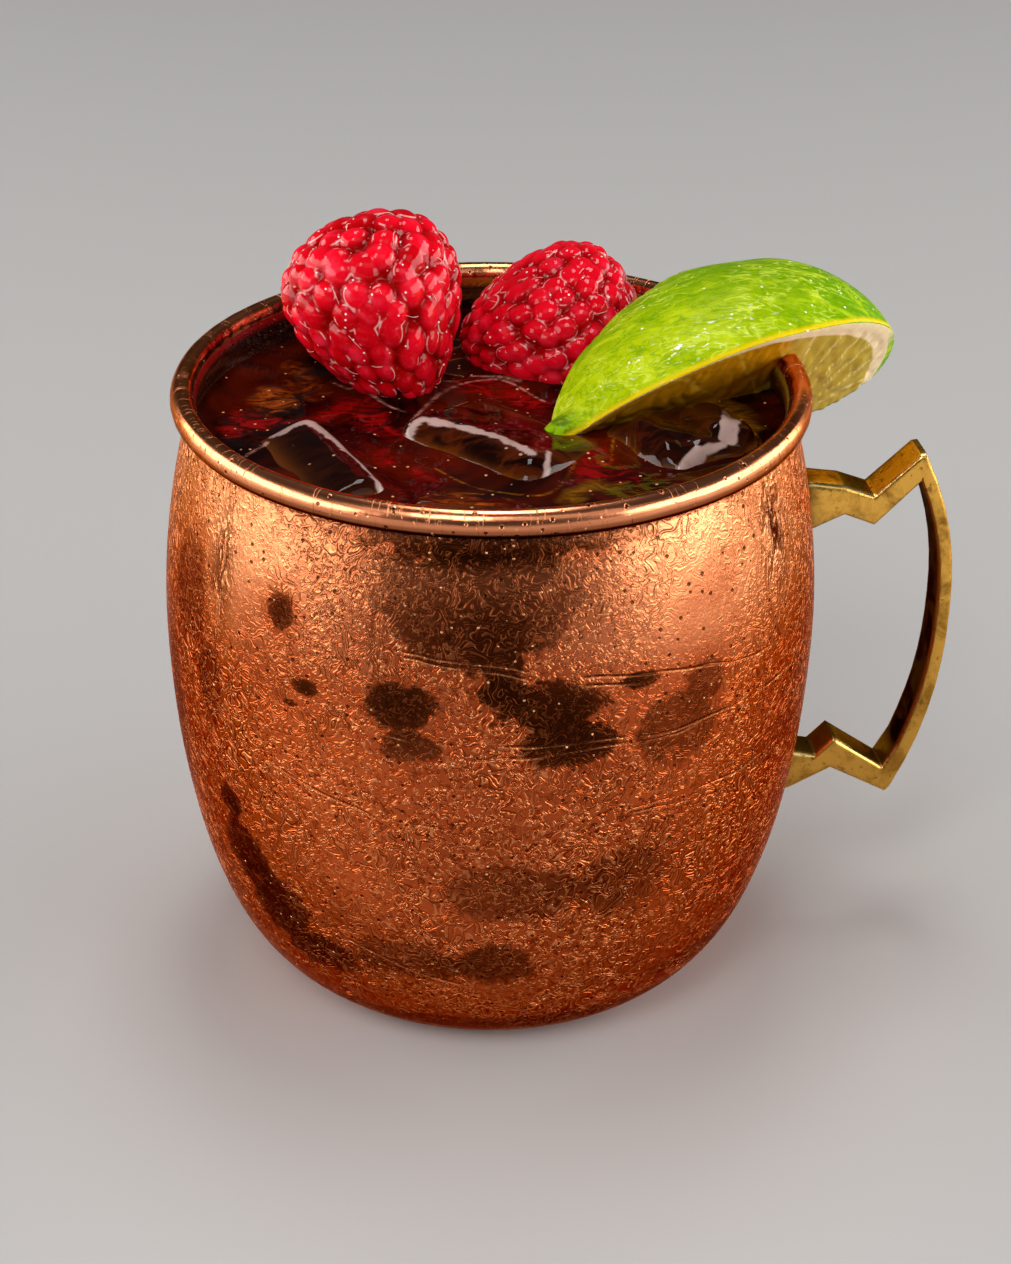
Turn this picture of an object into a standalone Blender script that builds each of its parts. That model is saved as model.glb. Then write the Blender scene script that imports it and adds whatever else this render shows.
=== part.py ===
"""A moscow mule in its copper mug.

The mug is a barrel spun from copper sheet, its lip rolled outwards into a bead, with a cast brass
handle at +X. It holds a dark drink with four lumps of ice, two raspberries, and a wedge of lime
that is slit and hooked over the rim. The origin is the centre of the mug's flat base, +Z is up.
"""

import math

import bmesh
import bpy
import numpy as np
from mathutils import Matrix, Vector

MM = 0.001

# The mug
MUG_HEIGHT = 87.8 * MM
WALL = 1.1 * MM
BASE_THICKNESS = 1.5 * MM
BELLY_RADIUS = 45.1 * MM
BELLY_HEIGHT = 54.0 * MM
LOWER_DEPTH = 56.0 * MM      # how far below the belly the lower curve would close
LOWER_BEND = 1.8
LOWER_FULLNESS = 5.28
UPPER_DEPTH = 73.3 * MM      # how far above the belly the upper curve would close
UPPER_BEND = 1.93
BEAD_RADIUS = 41.65 * MM     # middle of the rolled lip
BEAD_HALF_WIDTH = 1.6 * MM
BEAD_HALF_HEIGHT = 1.95 * MM
BEAD_FOOT = math.radians(-118)   # where the wall runs into the bead
BEAD_STEPS = 10
WALL_STEPS = 9
TURN_STEPS = 56

# The handle, as an outline in the XZ plane
HANDLE_WIDTH = 6.2 * MM
HANDLE_EDGE = 0.35 * MM
GRIP_REACH = 66.1 * MM
GRIP_MIDDLE = 51.3 * MM
GRIP_TOP = 73.6 * MM
GRIP_BOTTOM = 19.6 * MM
GRIP_DROP_TOP = 5.3 * MM
GRIP_DROP_BOTTOM = 7.1 * MM
GRIP_BEND_TOP = 2.15
GRIP_BEND_BOTTOM = 2.37
GRIP_THICKNESS = 2.1 * MM
GRIP_THICKENING = 0.45 * MM      # added towards both ends
GRIP_INNER_TOP = 69.2 * MM
GRIP_INNER_BOTTOM = 27.5 * MM
GRIP_STEPS = 9
UPPER_ARM_TOP = ((40.0, 70.3), (45.0, 70.25), (49.4, 69.45), (53.7, 67.8), (59.9, 73.6))
UPPER_ARM_UNDER = ((54.0, 62.9), (51.3, 65.1), (48.6, 64.5), (45.4, 62.9), (40.0, 61.2))
LOWER_ARM_TOP = ((40.0, 28.3), (43.5, 27.6), (47.7, 26.4), (50.2, 29.0), (57.5, 23.4), (58.4, 24.1))
LOWER_ARM_UNDER = ((58.2, 19.0), (49.9, 23.8), (42.0, 20.2), (37.0, 18.2))

# The drink
GAP = 0.3 * MM                   # clearance between neighbouring pieces
DRINK_LEVEL = 80.5 * MM

# The ice: name, centre, size, turn about Z, lean about its own length, bevel
ICE_LUMPS = (
    ("ice_centre", (0.6, -6.0, 72.3), (25.0, 18.6, 18.2), -50, -5, 3.2),
    ("ice_left", (-24.9, -10.3, 72.4), (24.0, 14.5, 17.0), -73, 12, 2.6),
    ("ice_right", (25.2, -8.8, 74.2), (18.2, 16.6, 17.6), 22, 4, 4.6),
    ("ice_front", (-8.2, -28.0, 74.5), (15.0, 10.0, 12.6), -15, 5, 2.6),
)
ICE_BEVEL_STEPS = 3
LIME_RESTS_ON = ("ice_centre", "ice_right")

# The raspberries: name, centre, half length, radius, axis from tip to stalk end, drupelets
BERRIES = (
    ("raspberry_left", (-12.9, 17.8, 90.5), 14.2, 12.2, (-0.28, 0.51, 0.81), 150),
    ("raspberry_right", (11.6, 21.6, 84.6), 13.2, 12.1, (1.00, 0.02, 0.06), 140),
)
BERRY_TAPER = 0.35               # wider towards the stalk end
DRUPELET_RISE = 0.8 * MM
DRUPELET_SHOULDER = 0.62         # the flat top of a drupelet, as a share of its width
DRUPELET_STEP = 0.65             # the share of the rise that the shoulder takes
BERRY_SEAT = 1.03                # a faceted hollow is this much over size, to stay clear
GOLDEN_ANGLE = math.pi * (3 - math.sqrt(5))

# The lime wedge
LIME_TIP = Vector((8.1, -2.6, 76.3)) * MM      # the end in the drink
LIME_END = Vector((59.5, 19.8, 76.3)) * MM     # the end outside the mug
LIME_RADIUS = 20.7 * MM
LIME_TIP_BEND = 1.38
LIME_END_BEND = 2.95
LIME_NEAR_CUT = math.radians(38.3)   # both cuts are measured from straight up, about the core
LIME_FAR_CUT = math.radians(28.0)
LIME_CORE_SAG = 9.5 * MM         # how far the slit lets the flesh outside the mug hang
LIME_STATIONS = 22
LIME_SKIN_STEPS = 10
SLIT_BOTTOM = 60.0 * MM


def material(name, colour, roughness, metallic=0.0, transmission=0.0):
    """A Principled material with one colour."""
    mat = bpy.data.materials.new(name)
    mat.use_nodes = True
    shader = mat.node_tree.nodes["Principled BSDF"]
    shader.inputs["Base Color"].default_value = (*colour, 1.0)
    shader.inputs["Roughness"].default_value = roughness
    shader.inputs["Metallic"].default_value = metallic
    shader.inputs["Transmission Weight"].default_value = transmission
    mat.diffuse_color = (*colour, 1.0)
    return mat


def piece(name, bm, mat, smooth_angle=None):
    """Puts the mesh into the scene as an object with its material."""
    mesh = bpy.data.meshes.new(name)
    bm.to_mesh(mesh)
    bm.free()
    obj = bpy.data.objects.new(name, mesh)
    bpy.context.collection.objects.link(obj)
    if mat:
        mesh.materials.append(mat)
    if smooth_angle is not None:
        mesh.shade_smooth()
        mesh.set_sharp_from_angle(angle=math.radians(smooth_angle))
    return obj


def cutter(name, bm):
    """A shape that only cuts: drawn as wire, left out of the render."""
    obj = piece(name, bm, None)
    obj.display_type = "WIRE"
    obj.hide_render = True
    return obj


def cut(obj, tool):
    """Takes the tool's volume away from the object with a live Boolean."""
    step = obj.modifiers.new("cut_" + tool.name, "BOOLEAN")
    step.operation = "DIFFERENCE"
    step.solver = "EXACT"
    step.object = tool


def turned(profile):
    """Turns a profile of (radius, height) points about Z into a closed solid."""
    bm = bmesh.new()
    verts = [bm.verts.new((r, 0.0, z)) for r, z in profile]
    edges = [bm.edges.new(pair) for pair in zip(verts, verts[1:])]
    bmesh.ops.spin(bm, geom=verts + edges, cent=(0, 0, 0), axis=(0, 0, 1), dvec=(0, 0, 0),
                   angle=math.tau, steps=TURN_STEPS, use_merge=True)
    bmesh.ops.remove_doubles(bm, verts=bm.verts, dist=0.00001)
    bmesh.ops.recalc_face_normals(bm, faces=bm.faces)
    return bm


def wall_radius(z):
    """The barrel's outer radius at a height: two power curves that meet at the belly."""
    if z < BELLY_HEIGHT:
        closing = ((BELLY_HEIGHT - z) / LOWER_DEPTH) ** LOWER_BEND
        return BELLY_RADIUS * (1 - closing) ** (1 / LOWER_FULLNESS)
    closing = ((z - BELLY_HEIGHT) / UPPER_DEPTH) ** UPPER_BEND
    return BELLY_RADIUS * math.sqrt(1 - closing)


def bead_point(angle, grow=0.0):
    """A point on the oval rolled lip, at an angle measured from straight outwards."""
    middle = MUG_HEIGHT - BEAD_HALF_HEIGHT
    return (BEAD_RADIUS + (BEAD_HALF_WIDTH + grow) * math.cos(angle),
            middle + (BEAD_HALF_HEIGHT + grow) * math.sin(angle))


def wall_heights(bottom, top):
    """Heights up the wall, closer together near the base where it bends most."""
    return [bottom + (top - bottom) * (i / WALL_STEPS) ** 1.5 for i in range(WALL_STEPS + 1)]


def inner_radius(z, gap=0.0):
    """The inside of the wall at a height, less a gap, both measured square to the sheet."""
    step = 0.2 * MM
    slope = (wall_radius(z + step) - wall_radius(z)) / step
    return wall_radius(z) - (WALL + gap) * math.hypot(1.0, slope)


def mug_profile():
    """From the middle of the base up the outside, over the bead and down the inside."""
    foot_z = bead_point(BEAD_FOOT)[1]
    outer = [(wall_radius(z), z) for z in wall_heights(0.0, foot_z)]
    turn = math.pi - BEAD_FOOT
    bead = [bead_point(BEAD_FOOT + turn * i / BEAD_STEPS) for i in range(1, BEAD_STEPS + 1)]
    inner = [(inner_radius(z), z) for z in reversed(wall_heights(BASE_THICKNESS, foot_z))]
    return [(0.0, 0.0)] + outer + bead + inner + [(0.0, BASE_THICKNESS)]


def make_mug():
    """Copper sheet: base, barrel wall and rolled lip are one piece."""
    copper = material("aged_copper", (0.72, 0.34, 0.20), 0.32, metallic=1.0)
    return piece("mug", turned(mug_profile()), copper, smooth_angle=50)


def grip_face(z):
    """X of the grip's outer face: a bow that falls away above and below its middle."""
    if z > GRIP_MIDDLE:
        share = (z - GRIP_MIDDLE) / (GRIP_TOP - GRIP_MIDDLE)
        return GRIP_REACH - GRIP_DROP_TOP * share ** GRIP_BEND_TOP
    share = (GRIP_MIDDLE - z) / (GRIP_MIDDLE - GRIP_BOTTOM)
    return GRIP_REACH - GRIP_DROP_BOTTOM * share ** GRIP_BEND_BOTTOM


def grip_back(z):
    """X of the grip's inner face."""
    ends = abs(z - GRIP_MIDDLE) / (GRIP_TOP - GRIP_MIDDLE)
    return grip_face(z) - GRIP_THICKNESS - GRIP_THICKENING * min(1.0, ends ** 2)


def handle_outline():
    """The zig-zag arms and the bowed grip, as one closed loop of (x, z) points."""
    def levels(top, bottom):
        return [top + (bottom - top) * i / GRIP_STEPS for i in range(GRIP_STEPS + 1)]

    loop = [(x * MM, z * MM) for x, z in UPPER_ARM_TOP]
    loop += [(grip_face(z), z) for z in levels(GRIP_TOP, GRIP_BOTTOM)]
    loop += [(x * MM, z * MM) for x, z in LOWER_ARM_UNDER]
    loop += [(x * MM, z * MM) for x, z in LOWER_ARM_TOP]
    loop += [(grip_back(z), z) for z in levels(GRIP_INNER_BOTTOM, GRIP_INNER_TOP)]
    loop += [(x * MM, z * MM) for x, z in UPPER_ARM_UNDER]
    return loop


def make_handle():
    """Cast brass, a flat bar bent in zig-zags, its feet fitted to the barrel."""
    bm = bmesh.new()
    front = bm.faces.new([bm.verts.new((x, -HANDLE_WIDTH / 2, z)) for x, z in handle_outline()])
    back = bmesh.ops.extrude_face_region(bm, geom=[front])["geom"]
    bmesh.ops.translate(bm, vec=(0, HANDLE_WIDTH, 0),
                        verts=[v for v in back if isinstance(v, bmesh.types.BMVert)])
    bmesh.ops.recalc_face_normals(bm, faces=bm.faces)
    brass = material("aged_brass", (0.60, 0.42, 0.16), 0.3, metallic=1.0)
    handle = piece("handle", bm, brass, smooth_angle=35)
    edges = handle.modifiers.new("softened_edges", "BEVEL")
    edges.width = HANDLE_EDGE
    edges.segments = 2
    edges.limit_method = "ANGLE"
    edges.angle_limit = math.radians(40)
    heights = wall_heights(0.0, bead_point(BEAD_FOOT)[1])
    barrel = [(0.0, 0.0)] + [(wall_radius(z) + GAP, z) for z in heights] + [(0.0, heights[-1])]
    cut(handle, cutter("barrel_envelope", turned(barrel)))
    return handle


def make_drink():
    """The drink up to its level, following the inside of the mug."""
    inside = wall_heights(BASE_THICKNESS, bead_point(BEAD_FOOT)[1])
    wall = [inner_radius(z, GAP) for z in inside]
    bottom = BASE_THICKNESS + GAP
    heights = [bottom] + [z for z in inside if bottom < z < DRINK_LEVEL] + [DRINK_LEVEL]
    profile = [(0.0, bottom)] + [(float(np.interp(z, inside, wall)), z) for z in heights]
    profile.append((0.0, DRINK_LEVEL))
    brown = material("ginger_beer", (0.11, 0.022, 0.008), 0.05, transmission=0.6)
    return piece("drink", turned(profile), brown, smooth_angle=50)


def ice_block(centre, size, turn, lean, bevel, grow=0.0):
    """A lump of ice: a box with well rounded edges, leaning in the drink."""
    bm = bmesh.new()
    bmesh.ops.create_cube(bm, size=1.0)
    bmesh.ops.scale(bm, vec=[s * MM + 2 * grow for s in size], verts=bm.verts)
    bmesh.ops.bevel(bm, geom=bm.edges, offset=bevel * MM + grow, segments=ICE_BEVEL_STEPS,
                    profile=0.5, affect="EDGES")
    place = (Matrix.Translation(Vector(centre) * MM) @ Matrix.Rotation(math.radians(turn), 4, "Z")
             @ Matrix.Rotation(math.radians(lean), 4, "X"))
    bmesh.ops.transform(bm, matrix=place, verts=bm.verts)
    return bm


def make_ice(drink, lime_seat):
    """Four lumps of ice that just break the surface, each in its own hollow of the drink."""
    clear = material("ice", (0.75, 0.62, 0.55), 0.08, transmission=0.9)
    for name, centre, size, turn, lean, bevel in ICE_LUMPS:
        lump = piece(name, ice_block(centre, size, turn, lean, bevel), clear, smooth_angle=30)
        hollow = ice_block(centre, size, turn, lean, bevel, grow=GAP)
        cut(drink, cutter(name + "_hollow", hollow))
        if name in LIME_RESTS_ON:
            cut(lump, lime_seat)


def berry_place(centre, half_length, radius, axis):
    """Takes the unit ball to the berry: egg-shaped, lying along its axis."""
    along = Vector(axis).normalized()
    turn = along.to_track_quat("Z", "Y").to_matrix()

    def place(p):
        wide = radius * (1 + BERRY_TAPER * p.z)
        return Vector(centre) * MM + turn @ Vector((p.x * wide, p.y * wide, p.z * half_length)) * MM
    return place


def berry_ball(count):
    """Drupelets on a unit ball: golden-angle points, each with the cell that lies nearest to it."""
    hull = bmesh.new()
    for i in range(count):
        z = 1 - (2 * i + 1) / count
        r = math.sqrt(1 - z * z)
        hull.verts.new((r * math.cos(i * GOLDEN_ANGLE), r * math.sin(i * GOLDEN_ANGLE), z))
    bmesh.ops.convex_hull(hull, input=hull.verts)
    hull.faces.index_update()
    cells = bmesh.new()
    corners = [cells.verts.new(f.calc_center_median().normalized()) for f in hull.faces]
    for v in hull.verts:
        start = v.link_loops[0]
        ring, loop = [], start
        while True:
            ring.append(corners[loop.face.index])
            loop = loop.link_loop_prev.link_loop_radial_next
            if loop is start:
                break
        cells.faces.new(ring)
    hull.free()
    bmesh.ops.recalc_face_normals(cells, faces=cells.faces)
    return cells


def make_berry(drink, name, centre, half_length, radius, axis, count):
    """A raspberry: every drupelet is a cell, stepped in and raised to a blunt dome."""
    bm = berry_ball(count)
    rise = DRUPELET_RISE / MM
    place = berry_place(centre, half_length - rise, radius - rise, axis)
    for v in bm.verts:
        v.co = place(v.co)
    cells = list(bm.faces)
    width = 2 * radius * MM * math.sqrt(math.pi / count)
    bmesh.ops.inset_individual(bm, faces=cells, thickness=width * (1 - DRUPELET_SHOULDER) / 2,
                               depth=DRUPELET_RISE * DRUPELET_STEP)
    bmesh.ops.poke(bm, faces=cells, offset=DRUPELET_RISE * (1 - DRUPELET_STEP))
    red = material(name + "_red", (0.55, 0.015, 0.035), 0.25)
    piece(name, bm, red, smooth_angle=60)
    skin = berry_place(centre, half_length + GAP / MM, radius + GAP / MM, axis)
    hollow = bmesh.new()
    bmesh.ops.create_icosphere(hollow, subdivisions=3, radius=BERRY_SEAT)
    for v in hollow.verts:
        v.co = skin(v.co)
    cut(drink, cutter(name + "_hollow", hollow))


def lime_section(share):
    """One cross-section: the core point, then the skin from the near cut to the far one."""
    along = (LIME_END - LIME_TIP).normalized()
    over = (Vector((0, 0, 1)) - along * along.z).normalized()
    near = along.cross(over)
    bend = LIME_TIP_BEND if share < 0 else LIME_END_BEND
    radius = LIME_RADIUS * math.sqrt(max(0.0, 1 - abs(share) ** bend))
    middle = LIME_TIP.lerp(LIME_END, (share + 1) / 2)
    sag = LIME_CORE_SAG * ((1 + share) / 2) ** 2 * (1 - share * share)
    ring = [middle - Vector((0, 0, sag))]
    for i in range(LIME_SKIN_STEPS + 1):
        angle = LIME_NEAR_CUT - (LIME_NEAR_CUT + LIME_FAR_CUT) * i / LIME_SKIN_STEPS
        ring.append(middle + radius * (over * math.cos(angle) + near * math.sin(angle)))
    return ring


def lime_wedge():
    """The whole wedge: sections from tip to tip, closed at both ends."""
    bm = bmesh.new()
    rings = []
    for i in range(1, LIME_STATIONS):
        ring = lime_section(-math.cos(math.pi * i / LIME_STATIONS))
        rings.append([bm.verts.new(p) for p in ring])
    for here, there in zip(rings, rings[1:]):
        for i in range(len(here)):
            j = (i + 1) % len(here)
            bm.faces.new((here[i], here[j], there[j], there[i]))
    for ring, end in ((rings[0], LIME_TIP), (rings[-1], LIME_END)):
        point = bm.verts.new(end)
        for i in range(len(ring)):
            bm.faces.new((ring[i], ring[(i + 1) % len(ring)], point))
    bmesh.ops.recalc_face_normals(bm, faces=bm.faces)
    return bm


def slit():
    """The mug's rim and wall, grown by the gap: what the wedge is slit to take.

    The crease under the bead is lowered, so that the gap there is no smaller than elsewhere."""
    foot_z = bead_point(BEAD_FOOT)[1]
    crease_z = foot_z - 2 * GAP
    outer = [(wall_radius(z) + GAP, z) for z in wall_heights(0.0, foot_z) if z > SLIT_BOTTOM]
    outer[-1] = (wall_radius(crease_z) + GAP, crease_z)
    turn = math.pi - BEAD_FOOT
    bead = [bead_point(BEAD_FOOT + turn * i / BEAD_STEPS, GAP) for i in range(1, BEAD_STEPS + 1)]
    inner = [(inner_radius(z, GAP), z) for z in reversed(wall_heights(BASE_THICKNESS, foot_z))
             if z > SLIT_BOTTOM]
    ring = outer + bead + inner
    return turned(ring + ring[:1])


def make_lime(drink):
    """The wedge of lime, slit from its core almost to the skin and pushed down over the rim.

    Returns the seat that its tip takes in what lies under it."""
    green = material("lime", (0.34, 0.55, 0.04), 0.3)
    wedge = piece("lime_wedge", lime_wedge(), green, smooth_angle=30)
    cut(wedge, cutter("rim_slit", slit()))
    grown = lime_wedge()
    grown.normal_update()
    moves = [(v, v.normal * GAP * min(v.calc_shell_factor(), 3.0)) for v in grown.verts]
    for v, move in moves:
        v.co += move
    seat = cutter("lime_seat", grown)
    cut(drink, seat)
    return seat


def build():
    for obj in list(bpy.data.objects):
        bpy.data.objects.remove(obj, do_unlink=True)
    make_mug()
    make_handle()
    drink = make_drink()
    lime_seat = make_lime(drink)
    make_ice(drink, lime_seat)
    for berry in BERRIES:
        make_berry(drink, *berry)


build()
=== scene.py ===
import math

import bpy
import numpy as np
from mathutils import Matrix, Vector


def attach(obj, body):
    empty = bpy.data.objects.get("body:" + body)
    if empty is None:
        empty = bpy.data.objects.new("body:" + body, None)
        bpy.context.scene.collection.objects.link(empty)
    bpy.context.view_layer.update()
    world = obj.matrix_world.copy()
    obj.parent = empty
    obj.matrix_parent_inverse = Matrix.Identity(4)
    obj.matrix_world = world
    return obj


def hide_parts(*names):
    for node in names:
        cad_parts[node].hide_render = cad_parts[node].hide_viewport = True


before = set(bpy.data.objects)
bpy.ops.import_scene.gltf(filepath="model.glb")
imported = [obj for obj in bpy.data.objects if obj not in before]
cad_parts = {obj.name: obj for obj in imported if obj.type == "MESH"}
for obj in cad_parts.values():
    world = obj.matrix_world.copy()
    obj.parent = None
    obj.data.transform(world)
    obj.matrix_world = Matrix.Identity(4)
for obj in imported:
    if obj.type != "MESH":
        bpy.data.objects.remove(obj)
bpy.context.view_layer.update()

MM = 0.001


# The mug: a barrel raised from one sheet of copper a millimetre thick, with its lip rolled
# outwards into a bead. The outside was etched all over with fine worm-like lines, then left to
# tarnish, so brown stains lie over it where hands and wet glasses have been. Its colour also
# holds painted light: a lighter top, painted shade and a painted dark reflection under the lip,
# and painted glints.
SHEET = 1.1
BASE_SHEET = 1.5
BELLY_RADIUS, BELLY_HEIGHT = 45.03, 54.0
LOWER_DEPTH, LOWER_BEND, LOWER_FULLNESS = 56.0, 1.8, 5.28
UPPER_DEPTH, UPPER_BEND = 73.3, 1.93
BEAD_MIDDLE = (41.65, 85.85)
BEAD_HALF = (1.6, 1.95)
BEAD_FOOT = math.radians(-118)
DENT_DEPTH, LIP_DENT_DEPTH = 0.07, 0.05


def barrel_radius(z):
    """The outside of the barrel: belly times one power curve below the belly, another above."""
    below = 1 - (np.clip(BELLY_HEIGHT - z, 0, None) / LOWER_DEPTH) ** LOWER_BEND
    above = 1 - (np.clip(z - BELLY_HEIGHT, 0, None) / UPPER_DEPTH) ** UPPER_BEND
    return BELLY_RADIUS * below ** (1 / LOWER_FULLNESS) * np.sqrt(above)


def inner_radius(z):
    """The inside of the barrel: the outside less the sheet, measured square to its slope."""
    slope = (barrel_radius(z + 0.2) - barrel_radius(z)) / 0.2
    return barrel_radius(z) - SHEET * np.hypot(1.0, slope)


def bead(angle):
    """The rolled lip: an oval about its middle, at an angle measured from straight outwards."""
    return np.stack([BEAD_MIDDLE[0] + BEAD_HALF[0] * np.cos(angle),
                     BEAD_MIDDLE[1] + BEAD_HALF[1] * np.sin(angle)], axis=-1)


def waves(points, length, seed, count=26):
    """Soft random relief: the mean of cosines of the place along random directions, about 0."""
    draw = np.random.default_rng(seed)
    total = np.zeros(points.shape[:-1])
    for _ in range(count):
        way = draw.normal(size=3)
        way *= math.tau / (length * draw.uniform(0.7, 1.5) * np.linalg.norm(way))
        total += np.cos(points @ way + draw.uniform(0, math.tau))
    return total / math.sqrt(count)


def skin(name, grids, marks=None, wrap=True, ends=(0, -1), mat=None):
    """A mesh piece from grids of points in mm, shaped (pieces, rows, columns, 3).

    Neighbours make quads. Where it wraps, the last column joins the first. The end rows named
    are closed with a fan about their middle. Where the volume that the faces hold comes out below
    nought, they are turned round, so that they point outwards. Marks are values for every point."""
    grids = np.asarray(grids, dtype=float)
    grids = grids[None] if grids.ndim == 3 else grids
    pieces, rows, columns, _ = grids.shape
    at = np.arange(pieces * rows * columns).reshape(pieces, rows, columns)
    beside = np.roll(at, -1, axis=2) if wrap else at[:, :, 1:]
    here = at if wrap else at[:, :, :-1]
    quads = np.stack([here[:, :-1], beside[:, :-1], beside[:, 1:], here[:, 1:]], -1).reshape(-1, 4)
    points, faces = grids.reshape(-1, 3), [quads]
    for end in ends:
        tip = np.arange(pieces)[:, None] + len(points) + 0 * here[:, end]
        sides = (beside[:, end], here[:, end]) if end == 0 else (here[:, end], beside[:, end])
        faces.append(np.stack([tip, *sides], -1).reshape(-1, 3))
        points = np.concatenate([points, grids[:, end].mean(1)])
    held = sum((points[face[:, 0]] * np.cross(points[face[:, i]], points[face[:, i + 1]])).sum()
               for face in faces for i in range(1, face.shape[1] - 1))
    if held < 0:
        faces = [face[:, ::-1] for face in faces]
    mesh = bpy.data.meshes.new(name)
    mesh.vertices.add(len(points))
    mesh.vertices.foreach_set("co", (points * MM).astype(np.float32).ravel())
    corners = np.concatenate([face.ravel() for face in faces])
    sizes = np.concatenate([np.full(len(face), face.shape[1]) for face in faces])
    mesh.loops.add(len(corners))
    mesh.loops.foreach_set("vertex_index", corners.astype(np.int32))
    mesh.polygons.add(len(sizes))
    mesh.polygons.foreach_set("loop_start", (np.cumsum(sizes) - sizes).astype(np.int32))
    mesh.polygons.foreach_set("loop_total", sizes.astype(np.int32))
    mesh.update(calc_edges=True)
    mesh.validate()
    for label, values in (marks or {}).items():
        values = np.broadcast_to(values, grids.shape[:-1])
        values = np.concatenate([values.ravel()] + [values[:, end].mean(1) for end in ends])
        layer = mesh.attributes.new(label, "FLOAT", "POINT")
        layer.data.foreach_set("value", values.astype(np.float32).ravel())
    mesh.shade_smooth()
    made = bpy.data.objects.new(name, mesh)
    bpy.context.collection.objects.link(made)
    if mat:
        mesh.materials.append(mat)
    return made


def finish(name, **plain):
    """Starts a material whose shader has these plain values, and gives it, its tree and its shader.

    The helpers below use the names tree and shader, so they add to the material started last."""
    mat = bpy.data.materials.new(name)
    mat.use_nodes = True
    shader = mat.node_tree.nodes["Principled BSDF"]
    for socket, value in plain.items():
        shader.inputs[socket.replace("_", " ")].default_value = value
    return mat, mat.node_tree, shader


class Pattern:
    """What one output of a node gives, place by place. It takes + - and * as a number does, with
    a Math node for each."""

    def __init__(self, socket):
        self.socket = socket

    def __add__(self, other):
        return add("Math", self, other, operation="ADD")

    def __sub__(self, other):
        return add("Math", self, other, operation="SUBTRACT")

    def __rsub__(self, other):
        return add("Math", other, self, operation="SUBTRACT")

    def __mul__(self, other):
        return add("Math", self, other, operation="MULTIPLY")


def add(kind, *values, out=0, **settings):
    """Adds a node and gives one of its outputs. Values go to its inputs in order, None skips."""
    made = tree.nodes.new("ShaderNode" + kind)
    for key, value in settings.items():
        setattr(made, key, value)
    for socket, value in zip(made.inputs, values):
        if isinstance(value, Pattern):
            tree.links.new(value.socket, socket)
        elif value is not None:
            socket.default_value = value
    return Pattern(made.outputs[out])


def place():
    """Where a point is on the object."""
    return add("TexCoord", out=3)


def mark(label):
    """A value kept with the mesh."""
    return add("Attribute", out=2, attribute_name=label)


def grain(where, scale, detail=2.0, rough=0.5, twist=0.0):
    """Noise of so many waves a metre."""
    return add("TexNoise", where, None, scale, detail, rough, None, None, None, twist)


def fade(value, low, high, start=0.0, end=1.0):
    """A smooth step from start to end as the value goes from low to high."""
    return add("MapRange", value, low, high, start, end, interpolation_type="SMOOTHSTEP")


def tint(share, *colours):
    """The second colour over the first, by a share."""
    colours = [value if isinstance(value, Pattern) else (*value, 1) for value in colours]
    return add("Mix", share, *[None] * 5, *colours, out=2, data_type="RGBA")


def layers(colour, *coats):
    """One colour with others laid over it in order, each by its own share."""
    for share, over in coats:
        colour = tint(share, colour, over)
    return colour


def relief(height, depth, strength):
    """Tilts the shading by a pattern of heights: one is this depth in metres."""
    lead(Normal=add("Bump", strength, depth, None, height))


def lead(**patterns):
    """Leads patterns into the shader, each into the input of that name."""
    for name, pattern in patterns.items():
        tree.links.new(pattern.socket, shader.inputs[name.replace("_", " ")])


# Stains on the copper, with a painted dark reflection and painted shade under the lip at the
# front: degrees from +X, height, half width, half height, depth of colour.
STAINS_AND_SHADE = [
    (-136.3, 69.8, 2.2, 2.7, 0.90), (-130.4, 60.7, 2.1, 1.2, 0.95),
    (-133.4, 57.8, 1.3, 0.6, 0.90), (-113.6, 61.2, 5.2, 3.5, 0.95), (-111.6, 55.2, 4.4, 2.2, 0.70),
    (-97.0, 63.6, 3.0, 1.9, 0.85), (-88.5, 61.5, 7.6, 3.8, 0.90), (-85.5, 56.0, 6.6, 3.8, 0.95),
    (-66.1, 55.0, 6.7, 5.4, 0.55), (-60.5, 60.6, 3.6, 3.2, 0.55), (-73.4, 63.4, 3.0, 1.2, 0.90),
    (-94.5, 32.7, 9.6, 5.0, 0.55), (-74.2, 32.8, 6.8, 6.0, 0.40), (-97.4, 20.0, 5.6, 4.2, 0.65),
    (-114.5, 19.6, 8.0, 3.8, 0.50), (-151.0, 37.0, 2.8, 2.6, 0.85), (-149.0, 29.4, 4.6, 5.2, 0.85),
    (-141.7, 22.5, 5.6, 5.6, 0.85), (-133.8, 16.7, 6.0, 4.0, 0.65), (-162.0, 66.0, 5.0, 8.0, 0.60),
    (-154.0, 54.0, 3.2, 6.0, 0.50), (-172.0, 45.0, 4.0, 14.0, 0.50),
    # The spots at -101, -100, -103 and -97 degrees are not stains but a painted dark reflection
    # down the front under the lip, with painted shade in the thin strip just under the bead.
    (-101.0, 76.3, 13.6, 8.0, 0.62), (-100.0, 81.5, 12.0, 1.3, 0.95),
    (-103.0, 70.0, 8.0, 3.5, 0.60), (-97.0, 68.5, 3.0, 4.0, 0.60), (-96.0, 6.0, 30.0, 2.0, 0.60),
    (-40.0, 12.0, 16.0, 2.5, 0.50), (4.0, 66.0, 6.0, 5.0, 0.70), (1.0, 24.0, 6.0, 5.0, 0.70)]
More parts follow.
